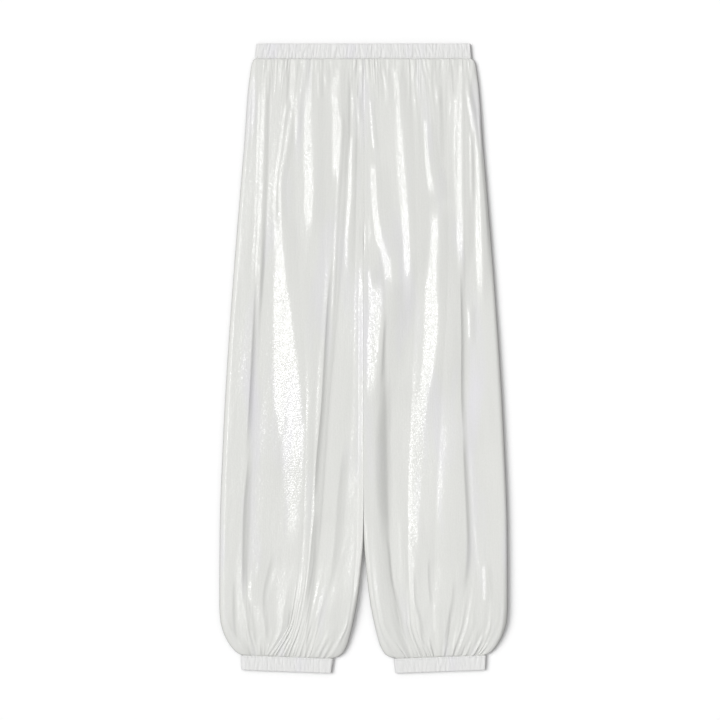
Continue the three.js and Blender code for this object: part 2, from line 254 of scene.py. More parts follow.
# Shining folds. Each is a low ridge with a straight left flank, and its first number says how slowly its far
# side falls away. Its stations, from the top down: y, the middle of the flank, and the flank's width.
# A last value below 1 makes the flank less steep than the light needs, so that only its grains shine.
rightStreaks = {
    "side edge": (1.8, [(470, 174.5, 1.6), (403, 176.5, 3.2), (334, 178.5, 1.6)]),
    "side outer": (1.2, [(440, 166.5, 3.2), (334, 169, 4.8), (232, 172.8, 4), (94, 179.5, 3.2)]),
    "side inner": (0.9, [(472, 155.5, 4), (430, 159.5, 6.4), (302, 163.5, 6.4), (190, 167.5, 7),
        (22, 172.5, 3.2)]),
    "wedge left": (1.2, [(420, 121.5, 3.6), (334, 134, 4.8), (266, 142, 4.8), (190, 143.5, 4.8)]),
    "wedge right": (1.5, [(410, 115.5, 3.6), (336, 125, 4.8), (270, 134.5, 4.8), (190, 133, 4.8)]),
    "wedge": (1.8, [(245, 138, 8), (142, 134.5, 18), (54, 128, 30), (-18, 124.3, 39), (-66, 121.4, 42),
        (-114, 117.3, 36), (-162, 117, 22), (-205, 116, 12)]),
    "wedge low": (1.8, [(-90, 113, 38), (-160, 112, 36), (-226, 112, 24), (-310, 113, 12)], 0.76),
    "thigh line": (1.5, [(475, 112.3, 4.8), (430, 110, 6.4), (334, 107.7, 3.2)]),
    "hip": (2.2, [(462, 86, 4), (395, 89, 12.8), (312, 87.5, 15), (232, 87.5, 12.8), (181, 86, 11)]),
    "hip line": (1.2, [(462, 84.3, 3.2), (395, 84.3, 4)]),
    "hip thin": (1.8, [(462, 73, 2.9), (411, 71.5, 2.9)]),
    "inner broad": (1.8, [(469, 41, 4.8), (430, 45.5, 12), (312, 44.5, 10.4), (270, 46, 6.4)]),
    "inner edge": (1, [(406, 38.7, 3.5), (374, 36.8, 4.5), (301, 40.2, 3.5), (208, 44.8, 3.2), (110, 49, 3),
        (22, 53, 2.8)]),
    "centre thin": (1.8, [(422, 10.7, 3.2), (373, 9, 3.2)]),
    "centre": (1.8, [(366, 18.7, 4), (318, 20.8, 5.6), (270, 22, 6.4), (194, 26.7, 5.6), (118, 29, 4.8)]),
}
leftStreaks = {
    "centre outer": (1.8, [(466, 17, 3.2), (414, 21.3, 4)]),
    "centre inner": (1.8, [(466, 30.7, 3.5), (429, 36.3, 4.5), (398, 37.3, 2.9)]),
    "inner": (2.1, [(476, 53, 4), (403, 54, 8.8), (350, 56.5, 14.4), (266, 63, 14.4), (206, 67.7, 12.8),
        (128, 70, 12), (70, 67.7, 6.4)]),
    "diagonal top": (1.8, [(418, 10, 2.6), (382, 12.5, 2.9), (326, 16.5, 3.2)]),
    "diagonal": (2.1, [(318, 14.6, 8), (246, 18, 9.6), (190, 26, 12), (152, 37.3, 14.4), (86, 43.7, 11.2)]),
    "centre low": (2.1, [(146, 9, 4.8), (62, 11.7, 5.6)]),
    "long top": (2.1, [(386, 98.7, 4.8), (334, 100.5, 6.4), (286, 106, 9.6), (246, 113.3, 14.4)]),
    "long": (2.1, [(254, 113.8, 13), (190, 113.3, 14), (110, 108.5, 20), (62, 109.3, 22), (-2, 104.5, 21),
        (-66, 95.7, 16), (-150, 85.5, 9)]),
    "long low": (2.1, [(-70, 94, 22), (-130, 87, 20), (-194, 84.5, 17), (-258, 83, 12),
        (-350, 82, 7)], 0.7),
    "inner speckle": (1.6, [(130, 20, 18), (94, 20, 24), (20, 16, 22), (-82, 9, 12)], 0.72),
    "knee": (1.5, [(472, 152.5, 4), (438, 153.3, 7.2), (403, 151.7, 11.2), (286, 151.8, 11),
        (206, 154, 10.4), (110, 154, 4.8)]),
    "side outer": (1.2, [(469, 163.2, 3.5), (430, 165.3, 4.8), (368, 175, 6.4), (310, 181.3, 7.2),
        (197, 183.7, 11.2), (110, 186, 8.8), (54, 187.7, 5.6)]),
    "side inner": (1.5, [(366, 170, 3.2), (246, 171.7, 2.9)]),
    "side edge": (1.5, [(390, 183.4, 3.2), (326, 189, 3.2)]),
    "knee thin": (1.8, [(438, 117.3, 2.9), (402, 117.3, 3.2)]),
    "side low": (1.8, [(86, 167.7, 4.8), (22, 169.3, 4)]),
    "hem side": (1.8, [(-330, 192, 4.8), (-394, 193.5, 4.4)]),
}
shine = {
    "slope": 0.173,
    "slopePerMillimetre": 0.00034,
    "topFade": 0.088,  # fades as shares of a streak's length
    "lowFade": 0.22,
    "softShare": 0.7,
    "sharpest": 2.2,
    "softest": 6,
    "fall": 2.8,
}

# Gathers at the seams, one row for each size: width of one, depth, how far they run up or down the leg, and
# the length over which they wander
gatherShape = {"drift": 0.7, "driftWidth": 4, "uneven": 0.6, "unevenWidth": 2, "fall": 1.5, "seedStep": 7}
waistGathers = [(3.6, 0.62, 38, 50), (7.5, 0.62, 85, 110), (14, 0.4, 170, 190)]
cuffGathers = [(3.4, 0.6, 40, 40), (6.2, 0.95, 80, 75), (11.5, 0.95, 92, 115)]
# Wrinkles all over the cloth: width and length of one, and its depth
wrinkles = [(26, 190, 0.3), (11, 85, 0.12), (5.5, 34, 0.05)]

meshDetail = {
    "rows": 186,
    "crowding": 0.45,  # how much closer the rows lie near the seams
    "nearSeams": (-0.6, 0, 0.5, 1, 1.6, 2.4),  # rows of their own, this far from both seams
    "closest": 0.3,
    "perMillimetre": 1.05,
    "fewest": 3,
    "atSeams": 12,
    "backRows": 120,
    "backPerMillimetre": 0.5,
}


def outlineAt(column, y):
    table = np.array(outline, float)
    return curveAt(table[:, 0], table[:, outlineColumns.index(column)], y)


def seamHeight(y):
    return 0.5 * (cut["ground"] + cut["edgeShare"] * outlineAt("fullness", y))


def inseamShare(y):  # 0 where the centre seams join left to right, 1 where the inseams join front to back
    return smoothStep(cut["crotch"] + cut["crotchDip"], cut["crotch"], y)


def belowCrotch(y):
    return smoothStep(cut["crotch"] + cut["crotchDip"], cut["crotch"] - cut["crotchDip"], y)


def frontLines(folds, y):  # kinds, distances out and heights of the lines that the front passes through
    fullness, side = outlineAt("fullness", y), outlineAt("side", y)
    seam, inseam = seamHeight(y), np.maximum(cut["gap"] / 2, outlineAt("inseam", y))
    centreZ = cut["ground"] + cut["centreShare"] * fullness
    outs, heights = [], []
    for kind, *row in folds:
        outs.append(curveAt(list(foldLevels.values()), row[:7], y))
        heights.append(cut["ground"] + fullness * mix(row[7], row[8], belowCrotch(y)))
    edgeZ = mix(centreZ, seam + cut["gap"] / 2, inseamShare(y))
    touching = edges["touch"] * smoothStep(*edges["touchFades"], y) * inseamShare(y)
    edgeZ = mix(edgeZ, heights[0], touching)
    turnWidth = np.minimum(edges["widest"], edges["steepness"] * (heights[0] - seam))
    turnOut = inseam + np.minimum(turnWidth, edges["toFirstFold"] * (outs[0] - inseam))
    atCentre, atInseam = (mix(edgeZ, heights[0], share) for share in edges["turnHeights"])
    turnZ = mix(atCentre, atInseam, inseamShare(y))
    sideZ = cut["ground"] + fullness * cut["edgeShare"]
    sideTurn = np.minimum(edges["widest"], edges["steepness"] * (sideZ - seam))
    sideTurn = np.minimum(sideTurn, edges["toLastFold"] * (side - outs[-1]))
    kinds = ["edge", "turn", *[row[0] for row in folds], "turn", "edge"]
    outs = [inseam, turnOut, *outs, side - sideTurn, side]
    heights = [edgeZ, turnZ, *heights, sideZ, seam + cut["gap"] / 2]
    return kinds, np.array(outs), np.array(heights)


def backLines(folds, y):
    side, seam = outlineAt("side", y), seamHeight(y)
    inseam = np.maximum(cut["gap"] / 2, outlineAt("inseam", y))
    width = side - inseam
    turn = np.minimum(edges["widest"], edges["steepness"] * seam)
    fade = smoothStep(cut["waistSeam"], cut["waistSeam"] - backShape["waistFade"], y)
    fade = fade * smoothStep(cut["cuffSeam"], cut["cuffSeam"] + backShape["cuffFade"], y)
    zero = np.zeros_like(side)
    kinds, outs = ["edge", "flat"], [inseam, inseam + turn]
    heights = [mix(zero, seam - cut["gap"] / 2, inseamShare(y)), zero]
    for upper, lower, height, across in folds:
        middle = inseam + width * mix(upper, lower, belowCrotch(y))
        half = 0.5 * across * width / backShape["legWidth"]
        kinds += ["flat", "flat", "flat"]
        outs += [middle - half, middle, middle + half]
        heights += [zero, backShape["foldHeight"] * height * fade, zero]
    kinds += ["flat", "edge"]
    outs += [side - turn, side]
    heights += [zero, seam - cut["gap"] / 2]
    return kinds, np.array(outs), np.array(heights)


def riseBetween(kindA, kindB, s, turned):  # round on crests, sharp in creases, a quarter ellipse at a seam
    def ellipse(t):
        return mix(t * (2 - t), np.sqrt(np.maximum(t * (2 - t), 0)), turned)

    if kindA == "edge":
        return ellipse(s)
    if kindB == "edge":
        return 1 - ellipse(1 - s)
    if kindA == "valley":
        return s * (2 - s)
    if kindB == "valley":
        return s * s
    return s * s * (3 - 2 * s)


def legSurface(lines, y, perMillimetre):  # distance out and height over a grid of rows and columns
    kinds, outs, heights = lines
    turned = inseamShare(y)[:, None]
    outColumns, zColumns = [], []
    for i in range(len(kinds) - 1):
        count = max(meshDetail["fewest"], round(perMillimetre * float(np.mean(outs[i + 1] - outs[i]))))
        if "edge" in (kinds[i], kinds[i + 1]):
            count = meshDetail["atSeams"]
        t = np.arange(0 if i == 0 else 1, count + 1) / count
        angle = t[None, :] * math.pi / 2
        turnedHere = turned if i == 0 else np.ones_like(turned)
        if kinds[i] == "edge":
            s = mix(t[None, :], 1 - np.cos(angle), turnedHere)
        elif kinds[i + 1] == "edge":
            s = mix(t[None, :], np.sin(angle), turnedHere)
        else:
            s = np.repeat(t[None, :], len(y), axis=0)
        outColumns.append(mix(outs[i][:, None], outs[i + 1][:, None], s))
        rise = riseBetween(kinds[i], kinds[i + 1], s, turnedHere)
        zColumns.append(mix(heights[i][:, None], heights[i + 1][:, None], rise))
    return np.concatenate(outColumns, axis=1), np.concatenate(zColumns, axis=1)


def softened(z, keep, passes):  # rounds the creases a little, and leaves the seams alone
    for _ in range(passes):
        blurred = z.copy()
        blurred[:, keep:-keep] = 0.25 * z[:, keep - 1 : -keep - 1] + 0.5 * z[:, keep:-keep]
        blurred[:, keep:-keep] += 0.25 * z[:, keep + 1 : z.shape[1] - keep + 1]
        z = blurred
    return z


creaseShape = {"fade": 0.25, "sharpWidth": 6}  # share of its length at each end; wider creases are softer


def betweenEnds(stationY, y, topFade, lowFade):  # 1 along a line and 0 at its ends; fades are shares of it
    length = stationY[0] - stationY[-1]
    top = smoothStep(stationY[0], stationY[0] - topFade * length, y)
    return top * smoothStep(stationY[-1], stationY[-1] + lowFade * length, y)


def creaseHeights(creases, out, y, hand):
    total = np.zeros_like(out)
    for back, stations in creases.values():
        stationY, middle, width, height = np.array(stations, float).T
        line, half, tall = (curveAt(stationY, values, y[:, 0])[:, None] for values in (middle, width, height))
        across = hand * (out - line)
        down = np.clip(1 + across / (2 * half), 0, 1)  # 0 at a crease's left edge, 1 at its bottom
        sharp = np.clip(2 - half / creaseShape["sharpWidth"], 0, 1)
        side = mix(down * down * (3 - 2 * down), down * (2 - down), sharp)
        soft = np.exp(-((across / np.where(across > 0, back, half)) ** 2))
        ends = betweenEnds(stationY, y, creaseShape["fade"], creaseShape["fade"])
        total += tall * ends * np.where((tall < 0) & (across < 0), side, soft)
    return total


def streakHeights(streaks, out, y, under, hand):  # the ridges' heights over the cloth that they lie on
    leftToRight = slice(None, None, hand)
    x, z = hand * out[:, leftToRight], under[:, leftToRight]
    step = np.gradient(x, axis=1)
    total = np.zeros_like(x)
    for fall, stations, *share in sorted(streaks.values(), key=lambda streak: hand * streak[1][0][1]):
        shining = (share or [1])[0] * (shine["slope"] + shine["slopePerMillimetre"] * x)
        lean = shining - np.gradient(z + total, axis=1) / step
        stationY, middle, width = np.array(stations, float).T
        middle = hand * curveAt(stationY, middle, y[:, 0])[:, None]
        half = 0.5 * curveAt(stationY, width, y[:, 0])[:, None]
        ends = betweenEnds(stationY, y, shine["topFade"], shine["lowFade"])[:, leftToRight]
        soft = np.clip(shine["softShare"] * half, shine["sharpest"], shine["softest"])
        onFlank = np.clip((half - np.abs(x - middle)) / soft + 0.5, 0, 1) * ends
        lift = np.cumsum(onFlank * lean * step, axis=1)
        total += lift - lift[:, -1:] * smoothStep(0, shine["fall"] * fall * half, x - middle - half)
    return total[:, leftToRight]


def gatherHeights(gathers, across, distance, seed):
    distance = np.maximum(distance, 0)
    total = np.zeros_like(across)
    for i, (width, depth, length, wander) in enumerate(gathers):
        own = seed + gatherShape["seedStep"] * i
        drift = valueNoise(across / (gatherShape["driftWidth"] * width), distance / wander, own)
        pleat = valueNoise(across / width + gatherShape["drift"] * drift, distance / wander, own + 1)
        uneven = valueNoise(across / (gatherShape["unevenWidth"] * width), 0 * distance, own + 2)
        reach = length * (1 + gatherShape["uneven"] * uneven)
        total += depth * (1 - 2 * np.abs(pleat)) * np.exp(-((distance / reach) ** gatherShape["fall"]))
    return total


def rowPlaces(count):  # rows from the waist seam to the cuff seam, closer together near both
    t = np.linspace(-1, 1, count)
    t = t + meshDetail["crowding"] * np.sin(math.pi * t) / math.pi
    spread = mix(cut["waistSeam"] + tuck["length"], cut["cuffSeam"] - tuck["length"], (t + 1) / 2)
    near = np.array(meshDetail["nearSeams"])
    close = np.concatenate([cut["waistSeam"] - near, cut["cuffSeam"] + near])
    spread = spread[np.abs(spread[:, None] - close).min(axis=1) > meshDetail["closest"]]
    return np.sort(np.concatenate([spread, close]))[::-1]


def tucked(out, y, z, tuckZ):  # the ends of a leg run up under the edges of the casings
    fromSeam = np.minimum(cut["waistSeam"] - y, y - cut["cuffSeam"])
    inside = smoothStep(tuck["rise"], tuck["end"], fromSeam)
    beyond = smoothStep(tuck["narrowRise"], tuck["end"], fromSeam)
    middle = 0.5 * (out[:, :1] + out[:, -1:])
    half = 0.5 * (out[:, -1:] - out[:, :1])
    atWaist = out * (1 - tuck["narrowed"] / tuck["waistHalf"] * beyond)
    atCuff = middle + (out - middle) * (1 - tuck["narrowed"] * beyond / half)
    return np.where(y > cut["crotch"], atWaist, atCuff), mix(z, tuckZ, inside)


shellShape = {"steep": 0.6, "sharpAngle": math.radians(50)}


def clothShell(name, outer, thickness, flipped):  # a closed thin sheet; outer is its outer face, in metres
    rows, columns = outer.shape[:2]
    normal = np.cross(np.gradient(outer, axis=0), np.gradient(outer, axis=1))
    normal *= -1 if flipped else 1
    normal[[0, -1], :, 1] = 0  # rims lie in the plane of their seam
    normal /= np.linalg.norm(normal, axis=2, keepdims=True)
    for edge in (0, -1):
        steep = np.abs(normal[:, edge, 2]) < shellShape["steep"]
        normal[steep, edge, 2] = 0
        normal[:, edge] /= np.linalg.norm(normal[:, edge], axis=1, keepdims=True)
    inner = outer - normal * thickness
    number = np.arange(rows * columns).reshape(rows, columns)
    a, b = number[:-1, :-1].ravel(), number[1:, :-1].ravel()
    c, d = number[1:, 1:].ravel(), number[:-1, 1:].ravel()
    face = np.stack([a, b, c, d], axis=1)
    rim = np.concatenate([number[0, :-1], number[:-1, -1], number[-1, :0:-1], number[:0:-1, 0]])
    following = np.roll(rim, -1)
    band = np.stack([rim, following, following + rows * columns, rim + rows * columns], axis=1)
    faces = np.concatenate([face, face[:, ::-1] + rows * columns, band])
    if flipped:
        faces = faces[:, ::-1]
    points = np.concatenate([outer.reshape(-1, 3), inner.reshape(-1, 3)])
    mesh = bpy.data.meshes.new(name)
    mesh.from_pydata(points.tolist(), [], faces.tolist())
    across = np.linalg.norm(np.diff(outer, axis=1, prepend=outer[:, :1]), axis=2).cumsum(axis=1)
    across -= across[:, -1:] / 2
    uv = np.stack([across, outer[:, :, 1]], axis=2).reshape(-1, 2)
    uv = np.concatenate([uv, uv])
    layer = mesh.uv_layers.new(name="cloth")
    loops = np.empty(len(mesh.loops), int)
    mesh.loops.foreach_get("vertex_index", loops)
    layer.data.foreach_set("uv", uv[loops].ravel())
    mesh.shade_smooth()
    mesh.set_sharp_from_angle(angle=shellShape["sharpAngle"])
    return addObject(name, mesh)


def panelPoints(out, y, z, hand):
    lean = smoothStep(cut["tiltFrom"], cut["cuffSeam"], y) * math.tan(cut["tilt"])
    middle = 0.5 * (out[:, :1] + out[:, -1:])
    return np.stack([hand * out, y + lean * (out - middle), z], axis=2) * mm


# Distances over which the details fade in from the edges, and heights, in millimetres
front = {
    "softenings": 3,
    "inseamFade": 9,
    "centreFade": 2,
    "sideFade": 7,
    "wrinkleLean": 0.12,
    "lowest": -0.6,
    "tuckHeight": 5.9,
}
back = {"softenings": 2, "edgeFade": 14, "cuffShare": 0.7, "highest": 1.2, "tuckHeight": 2.6}
seedSteps = {"cuff": 40, "wrinkle": 80}


def panelGrid(lines, y, perMillimetre, softenings):
    out, z = legSurface(lines, y, perMillimetre)
    z = softened(z, meshDetail["atSeams"], softenings)
    return out, np.repeat(y[:, None], out.shape[1], axis=1), z


def awayFrom(out, fade):  # 0 at both long edges, 1 further in than the fade
    return smoothStep(0, fade, out - out[:, :1]) * smoothStep(0, fade, out[:, -1:] - out)


def bothGathers(out, y, atWaist, atCuff, cuffShare, seed):
    waistAcross, cuffAcross = (np.repeat(row, len(y), axis=0) for row in (out[:1], out[-1:]))
    detail = gatherHeights(atWaist, waistAcross, cut["waistSeam"] - y, seed)
    seed += seedSteps["cuff"]
    return detail + cuffShare * gatherHeights(atCuff, cuffAcross, y - cut["cuffSeam"], seed)


def makeFrontPanel(name, folds, creases, streaks, hand, seed):
    rows = rowPlaces(meshDetail["rows"])
    out, y, z = panelGrid(frontLines(folds, rows), rows, meshDetail["perMillimetre"], front["softenings"])
    detail = creaseHeights(creases, out, y, hand)
    detail += streakHeights(streaks, out, y, z + detail, hand)
    detail += bothGathers(out, y, waistGathers, cuffGathers, 1, seed)
    for i, (width, length, depth) in enumerate(wrinkles):
        lean = front["wrinkleLean"] * y / width
        detail += depth * valueNoise(out / width + lean, y / length, seed + seedSteps["wrinkle"] + i)
    legs = awayFrom(out, front["inseamFade"])
    fade = mix(smoothStep(0, front["centreFade"], out - out[:, :1]), legs, inseamShare(y))
    z = z + detail * fade * smoothStep(0, front["sideFade"], out[:, -1:] - out)
    z = np.maximum(z, cut["ground"] + front["lowest"])
    out, z = tucked(out, y, z, front["tuckHeight"])
    return clothShell(name, panelPoints(out, y, z, hand), cut["cloth"] * mm, hand < 0)


def makeBackPanel(name, folds, hand, seed):
    rows = rowPlaces(meshDetail["backRows"])
    out, y, z = panelGrid(backLines(folds, rows), rows, meshDetail["backPerMillimetre"], back["softenings"])
    detail = bothGathers(out, y, waistGathers[1:], cuffGathers[1:], back["cuffShare"], seed)
    z = np.maximum(z + np.clip(detail, 0, back["highest"]) * awayFrom(out, back["edgeFade"]), 0)
    out, z = tucked(out, y, z, back["tuckHeight"])
    return clothShell(name, panelPoints(out, y, z, hand), cut["cloth"] * mm, hand > 0)


# Materials
wetLook = {
    "light": "#DFDFDC",
    "shade": "#D8D9D5",
    # painted sheen: the satin's pearly lilac shimmer, laid into the colour as random patches
    "sheenLilac": "#DEDCE4",
    "patchScale": (22, 4, 22),  # patches about 45 mm wide and 250 mm long
    "lilacFrom": 0.52,
    "lilacTo": 0.75,
    "lilacShare": 0.6,
    # the darkest share of the painted shade in the crinkle's hollows
    "crinkleShade": 0.975,
    "roughness": 0.5,
    "sheen": 0.08,
    "coat": 1.0,
    "glossRoughness": 0.16,
    "crinkleWidth": 3.0 * mm,
    "crinkleLength": 3.75 * mm,
    "crinkleDepth": 0.2 * mm,
    "crossWidth": 9 * mm,
    "crossHeight": 2.1 * mm,
    "crossDepth": 0.5 * mm,
    "underDepth": 0.09 * mm,
    "lineWidth": 2.6 * mm,
    "lineLength": 26 * mm,
    "lineDepth": 0.16 * mm,
}
# the casings are pulled in by their elastic, and shine less; their copy of the satin is more neutral and is
# painted lighter than the legs', a painted brightening of the same cloth
casingLook = {**wetLook, "light": "#E3E3E2", "shade": "#DCDCDB", "coat": 0.45, "glossRoughness": 0.3}


def wetLookSatin(name, setup):
    # polyester satin with a pressed-in crinkle: dull white, with grainy bright streaks along the folds
    material = bpy.data.materials.new(name)
    material.use_nodes = True
    tree = material.node_tree
    shader = tree.nodes["Principled BSDF"]
    source = addNode(tree, "ShaderNodeUVMap", {"uv_map": "cloth"}).outputs["UV"]
    patches = addNode(
        tree,
        "ShaderNodeTexNoise",
        inputs={
            "Vector": addNode(
                tree, "ShaderNodeMapping", inputs={"Vector": source, "Scale": setup["patchScale"]}
            ).outputs["Vector"],
            "Scale": 1.0,
            "Detail": 3.0,
        },
    )
    dull = addNode(
        tree,
        "ShaderNodeMix",
        {"data_type": "RGBA"},
        {"Factor": patches.outputs["Fac"], 6: linearColour(setup["light"]), 7: linearColour(setup["shade"])},
    )
    # painted sheen: where the patches run high, the colour turns lilac and stands in for the pearly shimmer
    inputs = {0: patches.outputs["Fac"], 1: setup["lilacFrom"], 2: setup["lilacTo"], 3: 0.0}
    inputs[4] = setup["lilacShare"]
    paintedSheen = addNode(tree, "ShaderNodeMapRange", inputs=inputs)
    colour = addNode(
        tree,
        "ShaderNodeMix",
        {"data_type": "RGBA"},
        {"Factor": paintedSheen.outputs[0], 6: dull.outputs[2], 7: linearColour(setup["sheenLilac"])},
    )
    # the crinkle in the gloss, drawn at its real size: it breaks the streaks into grains
    lumps = 1 / setup["crinkleWidth"]
    stretched = addNode(
        tree,
        "ShaderNodeMapping",
        inputs={"Vector": source, "Scale": (lumps, 1 / setup["crinkleLength"], lumps)},
    )
    crinkle = addNode(
        tree,
        "ShaderNodeTexNoise",
        inputs={"Vector": stretched.outputs["Vector"], "Scale": 1.0, "Detail": 1.0, "Roughness": 0.5},
    )
    # painted shade: the colour darkens a little in the crinkle's hollows, following the same noise as its
    # bump
    crinkleShade = addNode(
        tree,
        "ShaderNodeMapRange",
        inputs={0: crinkle.outputs["Fac"], 1: 0.3, 2: 0.7, 3: setup["crinkleShade"], 4: 1.0},
    )
    pressed = addNode(
        tree,
        "ShaderNodeMix",
        {"data_type": "RGBA", "blend_type": "MULTIPLY"},
        {"Factor": 1.0, 6: colour.outputs[2], 7: crinkleShade.outputs[0]},
    )
    tree.links.new(pressed.outputs[2], shader.inputs["Base Color"])
    # short creases across the cloth, which fray the edges of the streaks
    crossways = addNode(
        tree,
        "ShaderNodeMapping",
        inputs={"Vector": source, "Scale": (1 / setup["crossWidth"], 1 / setup["crossHeight"], lumps)},
    )
    cross = addNode(
        tree,
        "ShaderNodeTexNoise",
        inputs={"Vector": crossways.outputs["Vector"], "Scale": 1.0, "Detail": 1.0, "Roughness": 0.5},
    )
    frayed = addNode(
        tree,
        "ShaderNodeBump",
        inputs={"Height": cross.outputs["Fac"], "Strength": 1.0, "Distance": setup["crossDepth"]},
    )
    grain = addNode(
        tree,
        "ShaderNodeBump",
        inputs={
            "Height": crinkle.outputs["Fac"],
            "Strength": 1.0,
            "Distance": setup["crinkleDepth"],
            "Normal": frayed.outputs["Normal"],
        },
    )
    tree.links.new(grain.outputs["Normal"], shader.inputs["Coat Normal"])
    # fine lines that run down the cloth
    lines = 1 / setup["lineWidth"]
    drawnOut = addNode(
        tree,
        "ShaderNodeMapping",
        inputs={"Vector": source, "Scale": (lines, 1 / setup["lineLength"], lines)},
    )
    warp = addNode(
        tree,
        "ShaderNodeTexNoise",
        inputs={"Vector": drawnOut.outputs["Vector"], "Scale": 1.0, "Detail": 2.0, "Roughness": 0.5},
    )
    under = addNode(
        tree,
        "ShaderNodeBump",
        inputs={"Height": crinkle.outputs["Fac"], "Strength": 1.0, "Distance": setup["underDepth"]},
    )
    bump = addNode(
        tree,
        "ShaderNodeBump",
        inputs={
            "Height": warp.outputs["Fac"],
            "Strength": 1.0,
            "Distance": setup["lineDepth"],
            "Normal": under.outputs["Normal"],
        },
    )
    tree.links.new(bump.outputs["Normal"], shader.inputs["Normal"])
    shader.inputs["Roughness"].default_value = setup["roughness"]
    shader.inputs["Metallic"].default_value = 0.0
    shader.inputs["IOR"].default_value = 1.5
    shader.inputs["Specular IOR Level"].default_value = setup["sheen"]
    shader.inputs["Coat Weight"].default_value = setup["coat"]
    shader.inputs["Coat Roughness"].default_value = setup["glossRoughness"]
    shader.inputs["Coat IOR"].default_value = 1.5
    return material


def paleFloor():  # seamless white studio paper
    material = bpy.data.materials.new("white studio paper")
    material.use_nodes = True
    tree = material.node_tree
    shader = tree.nodes["Principled BSDF"]
    place = addNode(tree, "ShaderNodeTexCoord")
    inputs = {"Vector": place.outputs["Object"], "Scale": 1 / (2 * mm), "Detail": 2.0}
    grain = addNode(tree, "ShaderNodeTexNoise", inputs=inputs)
    colour = addNode(
        tree,
        "ShaderNodeMix",
        {"data_type": "RGBA"},
        {"Factor": grain.outputs["Fac"], 6: linearColour("#FAFAFA"), 7: linearColour("#FDFDFD")},
    )
    tree.links.new(colour.outputs[2], shader.inputs["Base Color"])
    shader.inputs["Roughness"].default_value = 0.9
    shader.inputs["Specular IOR Level"].default_value = 0.1
    return material


satin = wetLookSatin("wet-look polyester satin", wetLook)
casingSatin = wetLookSatin("gathered polyester satin", casingLook)

print("legs")
rightFront = makeFrontPanel("right_front_satin", rightFrontFolds, rightCreases, rightStreaks, -1, 11)
leftFront = makeFrontPanel("left_front_satin", leftFrontFolds, leftCreases, leftStreaks, 1, 23)
rightBack = makeBackPanel("right_back_satin", rightBackFolds, -1, 37)
leftBack = makeBackPanel("left_back_satin", leftBackFolds, 1, 51)
for panel, node in (
    (rightFront, "right_front_leg"),
    (leftFront, "left_front_leg"),
    (rightBack, "right_back_leg"),
    (leftBack, "left_back_leg"),
):
    panel.data.materials.append(satin)
    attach(panel, "root")
    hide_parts(node)
    area = sum(face.area for face in panel.data.polygons) / 2
    print(panel.name, "triangles", 2 * len(panel.data.polygons), "area", round(area, 4))

# Waistband and cuffs
# Sizes as the casings lie, in millimetres; shift is the middle of the sewn edge that they are counted from
waistbandCasing = {
    "width": 349,
    "topRatio": 345 / 349,
    "height": 24,
    "thickness": 8,
    "wall": 2.2,
    "gatherWidth": 5.2,
    "gatherDepth": 1.5,
    "scallop": 0.5,
    "seed": 3,
    "shift": (0, 480.5),
    "turn": 0.0,
    "flat": (0.95, 0.024),  # the strip before it is gathered, all round, as high as it shows
}
cuffCasing = {
    **waistbandCasing,
    "width": 150,
    "topRatio": 145.5 / 150,
    "height": 23.5,
    "gatherWidth": 4.6,
    "gatherDepth": 1.1,
    "shift": (122.5, -478.3),
    "flat": (0.4, 0.0235),
}


def ringPath(width, thickness):  # a flat ring seen end on, its front going towards +X
    radius = thickness / 2
    flat = width / 2 - radius
    points = []
    for centre, start in ((flat, 90), (-flat, -90)):
        for step in range(13):
            angle = math.radians(start - 15 * step)
            points.append((centre + radius * math.cos(angle), 0, radius + radius * math.sin(angle)))
    mesh = bpy.data.meshes.new("ring")
    edges = [(i, (i + 1) % len(points)) for i in range(len(points))]
    mesh.from_pydata([(x * mm, y * mm, z * mm) for x, y, z in points], edges, [])
    return mesh


# Shares of the gathers' depth, and a finer width as a share of theirs
pleatShape = {"spread": 4.0, "broad": -0.6, "fine": -0.4, "fineWidth": 0.45, "pinch": -0.35, "pinchFall": 6.0}
pleatDrift = {"broad": 0.9, "fine": 1.6, "fineSeed": 9.0}
ringShape = {"corner": 0.48, "cornerPoints": 5, "weld": 0.01 * mm, "mapHeight": 2.1}
ringMesh = {"columnWidth": 0.9, "rows": 61, "seedStep": 5}


